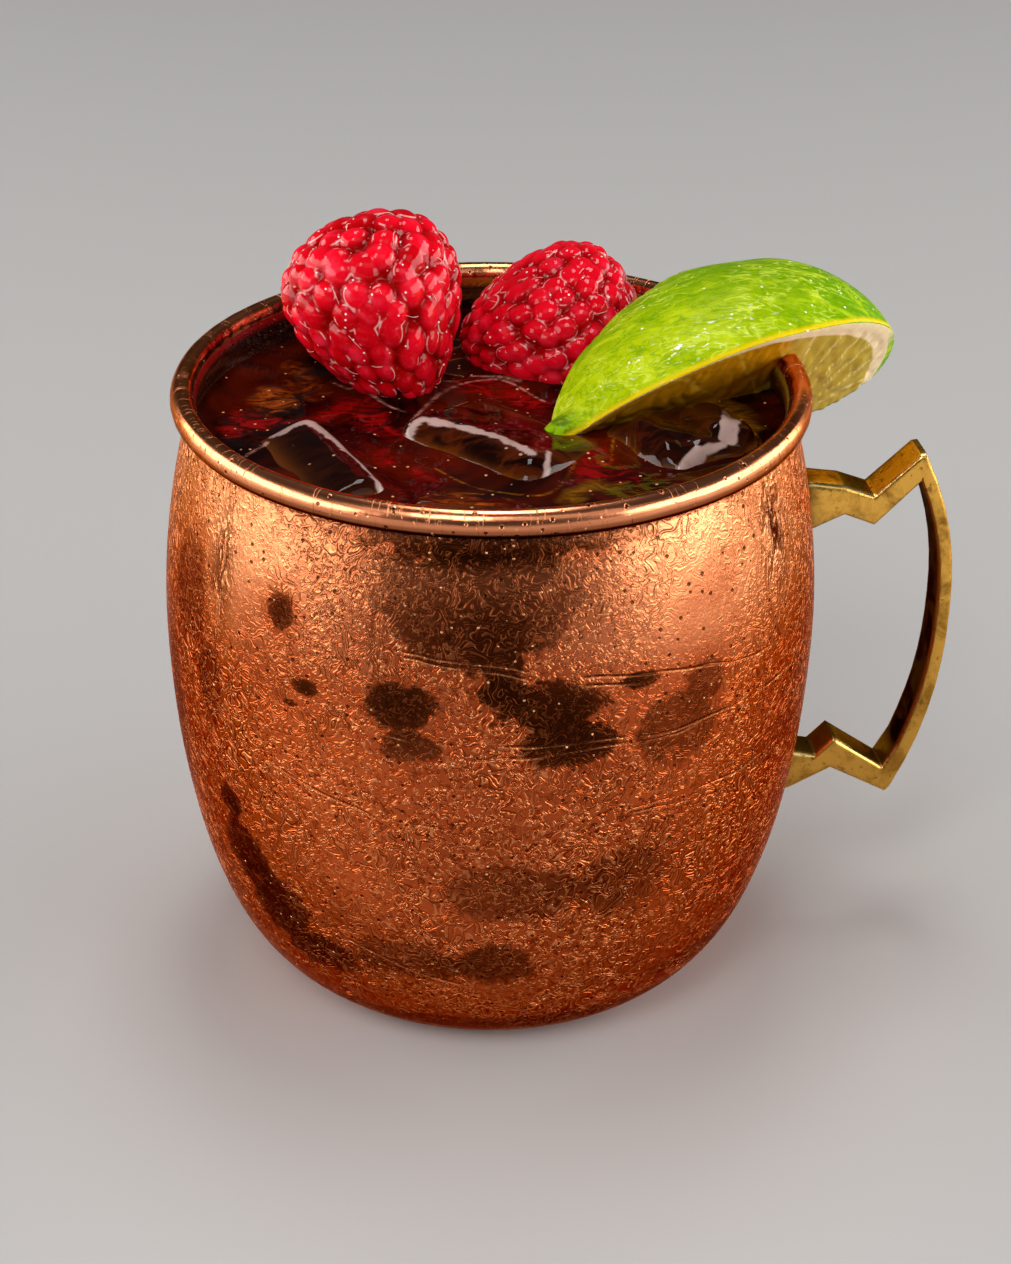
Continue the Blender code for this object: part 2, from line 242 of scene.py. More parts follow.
# More of them round the back, strewn about these places: degrees, height, depth of colour.
STAINED_PLACES = [(-22, 42, 0.4), (22, 60, 0.8), (40, 63, 0.8), (52, 30, 0.45), (68, 56, 0.85),
                  (84, 60, 0.85), (96, 26, 0.5), (112, 64, 0.8), (128, 57, 0.7), (146, 33, 0.6),
                  (160, 62, 0.8), (172, 24, 0.5)]
draw = np.random.default_rng(17)
STAINS_AND_SHADE += [(middle + draw.normal(0, 8), level + draw.normal(0, 3.5), draw.uniform(1.5, 7.5),
            draw.uniform(1.0, 3.8), depth * draw.uniform(0.6, 1.1))
           for middle, level, depth in STAINED_PLACES for _ in range(5)]

# Places of lighter copper, places worn nearly flat, and crumpled places: the same, with a
# strength last.
LIGHTER_PLACES = [(-127.0, 50.0, 9.0, 12.0, 0.55), (-124.0, 34.0, 10.0, 8.0, 0.45),
          (-70.0, 46.0, 6.0, 3.5, 0.3)]
SMOOTHED = [(-61.0, 71.0, 15.0, 16.0, 0.95), (-146.0, 71.0, 10.0, 10.0, 0.85),
            (90.0, 66.0, 14.0, 12.0, 0.7)]
CRUMPLES = [(-39.0, 75.5, 3.2, 8.0, 1.0), (-117.5, 71.0, 1.6, 8.0, 0.5),
            (-152.0, 72.0, 2.4, 9.0, 0.8), (62.0, 74.0, 3.0, 6.0, 0.7),
            (158.0, 50.0, 3.0, 9.0, 0.6)]
# Long scratches: degrees and height of both ends.
SCRATCHES = [(-119, 69.0, -38, 60.0), (-118, 68.2, -72, 62.6), (-119, 56.6, -34, 54.6),
             (-108, 54.4, -60, 54.9), (-140, 48.0, -116, 43.4), (-118, 43.8, -36, 44.6),
             (-80, 44.0, -58, 42.6), (-141, 24.0, -100, 15.0), (40, 62.0, 110, 56.0),
             (95, 44.0, 165, 50.0), (60, 24.0, 130, 20.0)]

ABOUT, FOOT_ROWS, WALL_ROWS, LIP_ROWS, INSIDE_ROWS, FLOOR_ROWS = 316, 7, 230, 29, 34, 5
rise = np.linspace(0, 1, WALL_ROWS)
foot_height = bead(BEAD_FOOT)[1]
outside = foot_height * rise ** 1.4
roll = np.linspace(BEAD_FOOT, math.pi, LIP_ROWS + 1)[1:]
down = np.linspace(foot_height, BASE_SHEET, INSIDE_ROWS)
under_foot = np.linspace(0.5, barrel_radius(0.0), FOOT_ROWS + 1)[:-1]
floor_inside = np.linspace(inner_radius(BASE_SHEET), 0.5, FLOOR_ROWS + 1)[1:]
profile = np.concatenate([
    np.stack([under_foot, np.zeros(FOOT_ROWS)], -1),
    np.stack([barrel_radius(outside), outside], -1),
    bead(roll),
    np.stack([inner_radius(down), down], -1),
    np.stack([floor_inside, np.full(FLOOR_ROWS, BASE_SHEET)], -1)])
wall_top = FOOT_ROWS + WALL_ROWS
wall, lip = slice(FOOT_ROWS, wall_top), slice(wall_top, wall_top + LIP_ROWS)
turn = np.linspace(0, math.tau, ABOUT, endpoint=False)
radius, height = profile[:, :1], np.repeat(profile[:, 1:], ABOUT, axis=1)
mug = np.stack([radius * np.cos(turn), radius * np.sin(turn), height], -1)


def on_rows(rows, values):
    """A mark that is the same all round: these values on these rows, nought on the others."""
    found = np.zeros((len(profile), 1))
    found[rows, 0] = values
    return found


on_wall = on_rows(wall, np.sin(math.pi * rise ** 0.3) ** 0.5)
on_lip = on_rows(lip, np.sin(math.pi * np.linspace(0, 1, LIP_ROWS)) ** 0.5)
pressed = DENT_DEPTH * on_wall * (0.5 + 0.35 * waves(mug, 15.0, 3)).clip(0, 1)
pressed += LIP_DENT_DEPTH * on_lip * (0.5 + 0.5 * waves(mug, 3.0, 4)).clip(0, 1)
mug[..., :2] *= 1 - (pressed / np.maximum(radius, 1.0))[..., None]


def off_spot(middle, level, half_wide, half_high):
    """How far a point is off a spot, squared: in half widths about the mug, in half heights up."""
    away = (np.degrees(turn) - middle + 180) % 360 - 180
    return (np.radians(away) * radius / half_wide) ** 2 + ((height - level) / half_high) ** 2


def spotted(spots):
    """A mark of soft spots, each of its own strength: the highest of them at each point."""
    return np.max([strength * np.exp(-off_spot(*spot)) for *spot, strength in spots], axis=0)


# The band just under the lip is painted shade; it shows only where the stain spots lie.
stain_and_shade = 0.7 * np.exp(-((height - 82.5) / 1.6) ** 2) * (on_wall > 0)
clean = np.ones(mug.shape[:-1])
for *spot, depth in STAINS_AND_SHADE:
    shape = np.exp(-0.8 * off_spot(*spot) ** 1.6)
    stain_and_shade = np.maximum(stain_and_shade, shape)
    clean *= 1 - depth * shape ** 0.3
# Painted shade and a painted dark reflection under the bead, darkest in the last rows of the wall,
# where it meets the bead.
lip_under_shade = on_rows(lip, np.clip((0.25 - roll) / 1.15, 0, 1))
lip_under_shade[wall_top - 3:wall_top, 0] = 0.5, 0.8, 1.0
mug_marks = {
    "stain_and_shade": stain_and_shade, "deep": 1 - clean, "crumpled": spotted(CRUMPLES),
    "lighter_copper": spotted(LIGHTER_PLACES), "smoothed": spotted(SMOOTHED), "lip": on_rows(lip, 1.0),
    "lip_under_shade": lip_under_shade, "lip_inside": on_rows(lip, np.clip((roll - 1.9) / 0.5, 0, 1)),
    "inside": on_rows(slice(lip.stop - 1, None), 1.0)}

copper, tree, shader = finish("aged_copper", Specular_Tint=(0.62, 0.29, 0.18, 1))
spot = place()
# Where a point is on the mug: degrees round it and millimetres up it.
x_place, y_place, z_place = [add("SeparateXYZ", spot, out=axis) for axis in range(3)]
turned = add("Math", y_place, x_place, operation="ARCTAN2") * (180 / math.pi)
upward = z_place * 1000.0


def thin_line(value, middle, half):
    """One on the line where the value is the middle, nothing half a width off it."""
    return fade(add("Math", value - middle, operation="ABSOLUTE"), 0.0, half, 1.0, 0.0)


def highest(patterns):
    """The highest of several patterns."""
    best = patterns[0]
    for pattern in patterns[1:]:
        best = add("Math", best, pattern, operation="MAXIMUM")
    return best


def contours(value, count, half):
    """One on each level line of a value, so many of them from nought to one."""
    phase = add("Math", value * count, 0.5, operation="PINGPONG")
    return fade(phase, 0.0, half, 1.0, 0.0)


def etched(swirl, hook):
    """The etched lines: contours of one grain in some places, of a finer one in the others."""
    return contours(swirl, 8.0, 0.2) * swirled + contours(hook, 2.6, 0.2) * (1.0 - swirled)


def drawn_out(about, up, detail, rough, twist=0.0):
    """Grain drawn out on the mug: so many waves a degree round it, so many a millimetre up."""
    return grain(add("CombineXYZ", turned * about, upward * up), 1.0, detail, rough, twist)


def dots(where, scale, radius, share):
    """Round dots: so many cells a metre, a radius in cells, in this share of the cells."""
    off_middle = add("TexVoronoi", where, None, scale)
    chance = add("SeparateXYZ", Pattern(off_middle.socket.node.outputs["Color"]))
    dot = fade(off_middle, radius * 0.5, radius, 1.0, 0.0)
    return dot * fade(chance, 1 - share - 0.01, 1 - share)


# Each scratch is a shaken line between its ends, worn away in places, with a bright edge.
wobble = (grain(spot, 60, 2, 0.5) - 0.5) * 3.0
worn = fade(grain(spot, 130, 2, 0.5), 0.38, 0.58)
scratches, bright_scratches = [], []
for first, first_height, last, last_height in SCRATCHES:
    slope = (last_height - first_height) / (last - first)
    line = add("Math", turned, slope, first_height - slope * first, operation="MULTIPLY_ADD")
    line = line + wobble
    span = fade(turned, first, first + 6) * fade(turned, last - 6, last, 1.0, 0.0) * worn
    for found, beside in ((scratches, 0.0), (bright_scratches, 0.32)):
        found.append(thin_line(upward + beside, line, 0.17) * span)
scratches, bright_scratches = highest(scratches), highest(bright_scratches)

swirl, hook = grain(spot, 430, 1, 0.35, 0.7), grain(spot, 960, 1, 0.3, 0.9)
swirled = fade(grain(spot, 110, 2, 0.5, 0.5), 0.44, 0.56)
lines, grooves = etched(swirl, hook), etched(swirl + 0.04, hook + 0.12)
creased = drawn_out(0.36, 0.15, 3, 0.6, 1.2)
folds = thin_line(creased, 0.46, 0.15) * mark("crumpled")
fold_edges = thin_line(creased, 0.56, 0.06) * mark("crumpled")
pits = dots(spot, 640, 0.22, 0.55)
# Bright dots, raised a little: painted glints.
glint_specks = dots(spot, 900, 0.2, 0.26)
soft = grain(spot, 90, 3, 0.6)
broad = grain(spot, 28, 3, 0.55)
fine = grain(spot, 1500, 2, 0.6)
ragged = add("Math", grain(spot, 190, 5, 0.75, 0.6), 1.5, grain(spot, 620, 4, 0.7, 0.8) * 0.8,
             operation="MULTIPLY_ADD")
ragged = add("Math", lines, 0.12, ragged, operation="MULTIPLY_ADD")
polished = mark("lip")
rougher = 1.0 - polished
stained_and_shaded = fade(mark("stain_and_shade") + (ragged - 1.18), 0.40, 0.60) * rougher * mark("deep")
pressed_in = fade(grain(spot, 75, 3, 0.6), 0.36, 0.6, 0.5, 1.0) * (1.0 - mark("smoothed")) * rougher
lines, grooves = lines * pressed_in, grooves * pressed_in
nicks = thin_line(drawn_out(0.45, 0.12, 2, 0.6), 0.55, 0.006) * polished
rubbed = drawn_out(0.05, 2.6, 3, 0.6)
smudge = fade(grain(spot, 300, 4, 0.7, 1.0), 0.42, 0.62) * mark("lip_inside")
# Painted light: the copper is drawn lighter towards the top, except on the darker spots.
pale = fade(upward, 56.0, 82.0) * (1.0 - mark("deep"))
painted_under_lip_shade = fade(mark("lip_under_shade"), 0.05, 0.95)

wet = tint(fade(drawn_out(0.03, 0.55, 4, 0.6, 0.8), 0.42, 0.66),
           (0.022, 0.004, 0.002), (0.15, 0.040, 0.007))
rosy = tint(fade(x_place, -0.005, 0.015), (0.42, 0.008, 0.008), (0.42, 0.22, 0.010))
metal = layers(
    (0.46, 0.078, 0.019),
    (mark("lighter_copper"), (0.98, 0.19, 0.050)),
    # painted light: lighter towards the top
    (pale, (0.92, 0.345, 0.148)),
    (fade(broad, 0.45, 0.75, 0.0, 0.55), (0.30, 0.042, 0.008)),
    (fade(soft, 0.45, 0.7, 0.0, 0.4), (0.26, 0.036, 0.007)),
    (grooves * 0.8, (0.13, 0.018, 0.0035)),
    (lines * 0.65, (0.98, 0.36, 0.13)),
    (polished, (0.95, 0.335, 0.155)),
    (polished * fade(rubbed, 0.46, 0.70, 0.0, 0.6), (0.50, 0.14, 0.05)),
    # painted shade under the bead: brown, then near black where it meets the wall
    (fade(painted_under_lip_shade, 0.0, 0.45, 0.0, 0.8), (0.30, 0.085, 0.032)),
    (fade(painted_under_lip_shade, 0.55, 0.9), (0.030, 0.008, 0.003)),
    (nicks * 0.4, (0.16, 0.04, 0.015)),
    (smudge * 0.9, (0.05, 0.014, 0.006)),
    # stains, with the painted dark reflection and painted shade under the lip at the front
    (stained_and_shaded, tint(lines * 0.6, (0.024, 0.005, 0.0013), (0.20, 0.042, 0.010))),
    (pits * 0.85, (0.035, 0.010, 0.004)),
    # painted glints
    (glint_specks * 0.85, (1.0, 0.50, 0.24)),
    (scratches * 0.75, (0.10, 0.020, 0.006)),
    (bright_scratches * fade(stained_and_shaded, 0.0, 1.0, 0.85, 0.3), (0.98, 0.36, 0.13)),
    (folds, (0.035, 0.010, 0.004)),
    (fold_edges * fade(stained_and_shaded, 0.0, 0.6, 0.6, 0.0), (1.0, 0.44, 0.20)),
    (mark("inside"), tint(fade(upward, 84.4, 85.6), wet, rosy)))
rough = stained_and_shaded * 0.14 + fade(soft, 0.2, 0.8, 0.24, 0.34)
lead(Base_Color=metal, Metallic=fade(mark("inside"), 0.0, 1.0, 1.0, 0.35),
     Roughness=rough * fade(polished, 0.0, 1.0, 1.0, 0.75))
raised = add("Math", fine, fade(polished, 0.0, 1.0, 0.4, 0.1), lines, operation="MULTIPLY_ADD")
raised = raised + glint_specks * rougher
sunk = highest([grooves * 0.8, pits * 1.2, scratches * 1.9, folds * 2.0, nicks])
relief(raised - sunk, 0.00013, 0.9)

mug_piece = skin("copper_mug", mug, mug_marks, mat=copper)
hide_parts("mug")
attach(mug_piece, "root")


# The handle: one brass casting, a flat bar in zig-zags with a bowed grip between them. Its
# edges are filed soft, its flats are dull and spotted, and its feet are brazed to the barrel.
BAR_WIDTH = 6.2
GRIP_REACH, GRIP_MIDDLE, GRIP_TOP, GRIP_BOTTOM = 66.1, 51.3, 73.6, 19.6


def grip_face(z):
    """The grip's outer face: its reach less a power of the way to its top or bottom."""
    above = (np.clip(z - GRIP_MIDDLE, 0, None) / (GRIP_TOP - GRIP_MIDDLE)) ** 2.15
    below = (np.clip(GRIP_MIDDLE - z, 0, None) / (GRIP_MIDDLE - GRIP_BOTTOM)) ** 2.37
    return GRIP_REACH - 5.3 * above - 7.1 * below


def grip_back(z):
    """The grip's inner face: its outer face less a thickness that grows to both ends."""
    ends = np.abs(z - GRIP_MIDDLE) / (GRIP_TOP - GRIP_MIDDLE)
    return grip_face(z) - 2.1 - 0.45 * np.minimum(1.0, ends ** 2)


outer_upper = [(40.0, 70.3), (45.0, 70.25), (49.4, 69.45), (53.7, 67.8), (60.0, 73.5)]
inner_upper = [(40.0, 61.2), (45.4, 62.9), (49.6, 64.8), (54.0, 62.9), (60.6, 69.4)]
outer_lower = [(58.4, 19.1), (49.9, 23.8), (44.0, 21.0), (39.0, 19.0)]
inner_lower = [(57.7, 23.6), (50.2, 29.0), (47.7, 26.4), (40.0, 28.3)]
down_grip = np.linspace(0, 1, 14)
outer_z = GRIP_TOP + (GRIP_BOTTOM - GRIP_TOP) * down_grip
inner_z = 69.2 + (27.5 - 69.2) * down_grip ** 0.97
outer = np.array(outer_upper + list(zip(grip_face(outer_z), outer_z)) + outer_lower)
inner = np.array(inner_upper + list(zip(grip_back(inner_z), inner_z)) + inner_lower)
station = np.linspace(0, len(outer) - 1, 331)
bar_out = np.stack([np.interp(station, range(len(outer)), outer[:, i]) for i in (0, 1)], -1)
bar_in = np.stack([np.interp(station, range(len(inner)), inner[:, i]) for i in (0, 1)], -1)
loop = np.linspace(0, math.tau, 56, endpoint=False)
across = np.sign(np.cos(loop)) * np.abs(np.cos(loop)) ** 0.32
wide = np.sign(np.sin(loop)) * np.abs(np.sin(loop)) ** 0.32
middle, half = (bar_out + bar_in) / 2, (bar_out - bar_in) / 2
bar = np.zeros((len(station), len(loop), 3))
bar[..., 0] = middle[:, None, 0] + half[:, None, 0] * across
bar[..., 1] = BAR_WIDTH / 2 * wide
bar[..., 2] = middle[:, None, 1] + half[:, None, 1] * across
bar[..., 1] *= 1 - 0.02 * (0.5 + 0.5 * waves(bar, 7.0, 8)).clip(0, 1)
seat = np.sqrt((barrel_radius(bar[..., 2]) - 0.4) ** 2 - bar[..., 1] ** 2)
root = np.exp(-np.clip(bar[..., 0] - seat - 0.4, 0, None) / 0.8)
bar[..., 0] = np.maximum(bar[..., 0], seat)

off_corner = np.abs(np.cos(loop)) - np.abs(np.sin(loop))
edge = np.exp(-(off_corner / 0.3) ** 2) + 0 * bar[..., 0]
on_grip = (np.clip((station - 4.6) / 0.5, 0, 1) * np.clip((18.6 - station) / 0.5, 0, 1))[:, None]
hollow = np.clip(-across, 0, 1) ** 4 * (0.4 + 0.6 * on_grip)
# A copper-red streak on the grip's inner face, near its front edge: a painted reflection of the
# mug.
copper_reflection = np.exp(-((off_corner - 0.4) / 0.16) ** 2) * (across < 0) * (wide < 0) * on_grip

brass, tree, shader = finish("aged_brass", Metallic=1.0, IOR=1.5,
                             Specular_Tint=(0.42, 0.24, 0.06, 1))
spot = place()
blotch = grain(spot, 230, 4, 0.65, 0.4)
specks = fade(grain(spot, 900, 2, 0.6), 0.62, 0.72)
tarnish = tint(fade(blotch, 0.42, 0.62), (0.014, 0.007, 0.0016), (0.085, 0.058, 0.012))
metal = layers(
    (1.0, 0.53, 0.092),
    (fade(blotch, 0.42, 0.70), (0.34, 0.155, 0.020)),
    # darker towards the bottom
    (fade(add("SeparateXYZ", spot, out=2), 0.062, 0.030, 0.0, 0.5), (0.36, 0.165, 0.022)),
    (mark("edge"), (1.0, 0.72, 0.26)),
    (mark("hollow"), tarnish),
    # painted reflection of the copper mug on the grip
    (mark("copper_reflection"), (0.40, 0.10, 0.006)),
    (specks * 0.6, (0.08, 0.045, 0.012)),
    (mark("root") * 0.9, (0.05, 0.025, 0.012)))
lead(Base_Color=metal, Roughness=fade(blotch, 0.3, 0.7, 0.2, 0.38) + mark("hollow") * 0.2)
relief(grain(spot, 420, 3) + grain(spot, 1400, 2), 0.00008, 0.5)
handle_piece = skin("brass_handle", bar, {"root": root, "edge": edge, "hollow": hollow,
                                          "copper_reflection": copper_reflection}, mat=brass)
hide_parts("handle")
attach(handle_piece, "root")


# The drink: dark ginger beer and spirit filled to 7 mm under the lip. Its surface climbs a
# little where it meets copper, ice and fruit, and dips under each lump of ice that floats in it.
DRINK_LEVEL = 80.5
INTO_WALL, CLIMB_REACH = 0.45, 0.9
SINK_DEPTH, SINK_REACH = 7.0, 3.0
PATCH_EDGE, LINE_HALF = 1.8, 0.12
ICE = {  # middle, size, turn about the upright, lean about its own length, rounding
    "ice_centre": ((0.6, -6.0, 72.3), (25.0, 18.6, 18.2), -50, -5, 3.2),
    "ice_left": ((-24.9, -10.3, 72.4), (24.0, 14.5, 17.0), -73, 12, 2.6),
    "ice_right": ((25.2, -8.8, 74.2), (18.2, 16.6, 17.6), 22, 4, 4.6),
    "ice_front": ((-8.2, -28.0, 74.5), (15.0, 10.0, 12.6), -15, 5, 2.6),
}
BERRIES = {  # middle, half length, radius, axis from tip to stalk, drupelets
    "raspberry_left": ((-12.9, 17.8, 90.5), 14.2, 12.2, (-0.28, 0.51, 0.81), 165),
    "raspberry_right": ((11.6, 21.6, 84.6), 13.2, 12.1, (1.00, 0.02, 0.06), 200),
}
BERRY_TAPER = 0.35


def ice_axes(turn_degrees, lean_degrees):
    """The three axes of a lump, as columns."""
    return np.array(Matrix.Rotation(math.radians(turn_degrees), 3, "Z")
                    @ Matrix.Rotation(math.radians(lean_degrees), 3, "X"))


def ice_distance(points, lump):
    """How far points are outside a rounded box (negative inside)."""
    middle, size, turned, lean, rounding = lump
    local = (points - np.array(middle)) @ ice_axes(turned, lean)
    over = np.abs(local) - np.array(size) / 2 + rounding
    return (np.linalg.norm(np.maximum(over, 0), axis=-1)
            + np.minimum(over.max(-1), 0) - rounding)


def berry_distance(points, berry):
    """Roughly how far points are outside an egg, by their scaled distance from its middle."""
    middle, half_length, radius, axis, _ = berry
    axis = np.array(axis) / np.linalg.norm(axis)
    local = points - np.array(middle)
    along = local @ axis
    side = np.linalg.norm(local - along[..., None] * axis, axis=-1)
    wide = radius * (1 + BERRY_TAPER * np.clip(along / half_length, -1, 1))
    return (np.hypot(along / half_length, side / wide) - 1) * radius


CELLS, SIDE_ROWS = 270, 8
edge_radius = float(inner_radius(DRINK_LEVEL)) + INTO_WALL
grid = np.linspace(-1, 1, CELLS)
u, v = np.meshgrid(grid, grid, indexing="ij")
surface = np.stack([edge_radius * u * np.sqrt(1 - v * v / 2),
                    edge_radius * v * np.sqrt(1 - u * u / 2), np.full(u.shape, DRINK_LEVEL)], -1)
from_wall = edge_radius - INTO_WALL - np.hypot(surface[..., 0], surface[..., 1])
climb = 0.55 * np.exp(-np.clip(from_wall, 0, None) / CLIMB_REACH)
sink = np.zeros(u.shape)
for lump in ICE.values():
    far = ice_distance(surface, lump)
    climb = np.maximum(climb, 0.45 * np.exp(-np.abs(far) / CLIMB_REACH))
    inside_lump = np.clip(-far - 0.3, 0, None)
    sink = np.maximum(sink, SINK_DEPTH * (1 - np.exp(-inside_lump / SINK_REACH)))
for berry in BERRIES.values():
    climb = np.maximum(climb, 0.9 * np.exp(-np.abs(berry_distance(surface, berry)) / 1.0))
surface[..., 2] += climb - sink + 0.14 * waves(surface, 9.0, 11)


def off_line(points, start, end):
    """How far points are, seen from above, from the straight line between two places."""
    (ax, ay), (bx, by) = start, end
    dx, dy = points[..., 0] - ax, points[..., 1] - ay
    share = (dx * (bx - ax) + dy * (by - ay)) / ((bx - ax) ** 2 + (by - ay) ** 2)
    share = np.clip(share, 0, 1)
    return np.hypot(dx - share * (bx - ax), dy - share * (by - ay))


def outlined(points, corners, soft):
    """One inside a shape, falling to nothing over a soft width across its straight edges.

    A point is inside where a line from it to the right crosses an odd number of edges."""
    corners = np.array(corners)
    away = np.full(points.shape[:-1], 1e9)
    crossings = np.zeros(points.shape[:-1], dtype=int)
    x, y = points[..., 0], points[..., 1]
    for (ax, ay), (bx, by) in zip(corners, np.roll(corners, -1, axis=0)):
        away = np.minimum(away, off_line(points, (ax, ay), (bx, by)))
        level = (y > ay) != (y > by)
        crossings += level & (x < ax + (y - ay) / (by - ay + 1e-9) * (bx - ax))
    away = np.where(crossings % 2 == 1, away, -away)
    return np.clip(0.5 + away / soft, 0, 1)


def along_path(points, path, half):
    """One on a line seen from above, its corners cut round, and nothing half a width off it."""
    path = np.array(path)
    for _ in range(2):
        cut = [0.75 * path[:-1] + 0.25 * path[1:], 0.25 * path[:-1] + 0.75 * path[1:]]
        path = np.concatenate([path[:1], np.stack(cut, 1).reshape(-1, 2), path[-1:]])
    best = np.full(points.shape[:-1], 1e9)
    for start, end in zip(path[:-1], path[1:]):
        best = np.minimum(best, off_line(points, start, end))
    return np.clip((half - best) / 0.25 + 0.5, 0, 1)


# The amber patches show through the drink; the red ones are painted reflections of the raspberries.
PATCHES = {  # colours on the drink, outlines seen from above
    "amber": [
        [(-26.3, 23.2), (-24.8, 25.2), (-21.7, 19.0), (-20.1, 13.9), (-22.5, 11.4), (-24.8, 13.5),
         (-26.0, 18.9)],
        [(-31.7, 13.7), (-29.8, 16.6), (-26.6, 16.2), (-25.3, 11.1), (-25.7, 9.1), (-29.6, 6.3),
         (-30.3, 10.8)],
        [(-12.0, -24.5), (-8.3, -21.2), (-5.6, -22.8), (-2.7, -25.6), (0.7, -28.5), (-6.0, -29.5)]],
    # painted reflections of the raspberries
    "red": [
        [(-24.8, 4.9), (-18.7, 11.6), (-15.1, 10.4), (-13.2, 3.4), (-13.2, -3.3), (-15.9, -0.3),
         (-18.8, 4.8)],
        [(-17.9, -2.6), (-15.9, -6.1), (-13.6, -9.0), (-14.0, -10.2), (-15.9, -11.2),
         (-17.3, -6.6)],
        [(-13.3, -12.2), (-11.0, -14.4), (-9.6, -16.8), (-11.9, -16.4), (-12.9, -14.1)],
        [(-7.9, 14.7), (-3.4, 16.5), (0.7, 15.3), (5.8, 11.8), (8.7, 5.5), (7.2, 3.3), (2.4, 8.0),
         (-1.3, 11.3)],
        [(11.1, -6.6), (13.8, -6.3), (15.3, -16.8), (16.5, -20.7), (11.3, -20.3), (8.2, -18.9),
         (8.6, -14.3)],
        [(-36.0, 7.0), (-33.5, 10.0), (-28.0, 5.0), (-24.5, 4.0), (-30.0, 2.5), (-35.5, 1.0)]],
    "olive": [
        [(5.0, -24.6), (8.6, -20.5), (11.4, -19.7), (14.6, -20.9), (12.9, -23.2), (9.7, -21.9),
         (7.1, -25.4)],
        [(15.0, -2.4), (22.0, 6.6), (31.3, 7.3), (35.6, 2.0), (36.1, -5.9), (33.1, -9.6),
         (32.0, -2.1), (28.1, 2.8), (22.2, 1.2)]],
}
# Thin lines of light on the drink, seen from above: golden ones round the ice and along the
# wall, white ones where it climbs at the fruit.
LIGHT_LINES = {
    "gold": [
        [(-9.4, -13.4), (-6.0, -18.5), (-2.3, -21.2), (1.0, -22.8), (3.9, -23.2), (6.4, -20.2),
         (9.0, -14.7), (10.2, -9.7)],
        [(13.9, -14.1), (15.5, -6.9), (19.0, -2.1), (24.6, 1.6), (29.5, 1.6), (33.8, -0.7)],
        [(22.3, 6.0), (28.3, 6.3), (33.4, 2.4), (34.8, -5.6), (34.5, -11.8)],
        [(38.6, -10.0), (34.7, -15.6), (30.0, -20.1), (24.6, -23.3), (18.6, -25.6), (14.5, -25.9),
         (11.2, -27.2)],
        [(-12.7, -22.8), (-9.9, -21.0), (-5.9, -20.7), (-2.3, -22.7), (1.2, -25.6)]],
    "shine": [
        [(-33.9, -5.9), (-32.4, -4.4), (-30.9, -3.1)],
        [(-19.8, 16.3), (-18.6, 14.0), (-16.6, 13.1), (-13.9, 8.9), (-11.1, 5.4)],
        [(-0.4, 16.5), (2.9, 15.0), (6.1, 12.8)],
        [(-11.9, -0.5), (-9.6, 4.2), (-6.3, 9.6), (-3.2, 13.0), (-0.1, 14.7), (3.1, 14.6),
         (5.9, 11.7), (8.3, 6.5)]],
}
bent = surface + 0.5 * np.stack([waves(surface, 4.0, 12), waves(surface, 4.0, 13), 0 * u], -1)
drink_marks = {label: np.max([outlined(bent, shape, PATCH_EDGE) for shape in shapes], axis=0)
               for label, shapes in PATCHES.items()}
for label, paths in LIGHT_LINES.items():
    drink_marks[label] = np.max([along_path(surface, path, LINE_HALF) for path in paths], axis=0)

rim_loop = np.concatenate([surface[:, 0], surface[-1, 1:], surface[-2::-1, -1],
                           surface[0, -2:0:-1]])
sink_z = np.linspace(DRINK_LEVEL - 1.0, BASE_SHEET + 0.3, SIDE_ROWS)
way = rim_loop[:, :2] / np.linalg.norm(rim_loop[:, :2], axis=1, keepdims=True)
side_radius = inner_radius(sink_z) + 0.3
sides = np.stack([np.concatenate([way * wide, np.full((len(way), 1), z)], 1)
                  for wide, z in zip(side_radius, sink_z)])
sides = np.concatenate([rim_loop[None], sides])

drink, tree, shader = finish("dark_drink", Roughness=0.03, IOR=1.33, Specular_IOR_Level=0.22)
spot = place()
streaks = grain(add("Mapping", spot, None, (0, 0, 0.5), (1, 1.8, 1)), 240, 4, 0.65, 1.8)
depth = grain(spot, 70, 3, 0.6, 0.6)
body = layers(
    (0.007, 0.0007, 0.0003),
    (fade(depth, 0.38, 0.7), (0.085, 0.0055, 0.0006)),
    (mark("amber") * fade(streaks, 0.42, 0.66, 0.06, 1.0), (0.40, 0.070, 0.004)),
    # painted reflection of the raspberries
    (mark("red") * fade(streaks, 0.42, 0.64, 0.1, 1.0), (0.30, 0.0025, 0.0025)),
    (mark("olive") * fade(streaks, 0.35, 0.65, 0.25, 1.0), (0.23, 0.090, 0.003)),
    (mark("gold") * fade(streaks, 0.40, 0.62, 0.0, 0.8), (0.40, 0.13, 0.005)),
    (mark("shine") * fade(streaks, 0.4, 0.6, 0.1, 0.8), (0.90, 0.36, 0.28)),
    # bright dots: painted glints on tiny bubbles
    (dots(spot, 700, 0.18, 0.30) * 0.85, (1.0, 0.50, 0.22)))
lead(Base_Color=body)
relief(grain(spot, 110, 3, 0.5, 0.8), 0.0006, 0.4)
drink_piece = skin("drink_surface", surface, drink_marks, wrap=False, ends=(), mat=drink)
drink_sides = skin("drink_body", sides, ends=(-1,), mat=drink)
for piece in (drink_piece, drink_sides):
    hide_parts("drink")
    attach(piece, "root")


# The ice: clear lumps, half melted, so their edges are round and their faces wavy. They float
# with a millimetre or two above the drink, wet all over.
LUMP_ROWS, LUMP_COLUMNS = 150, 210


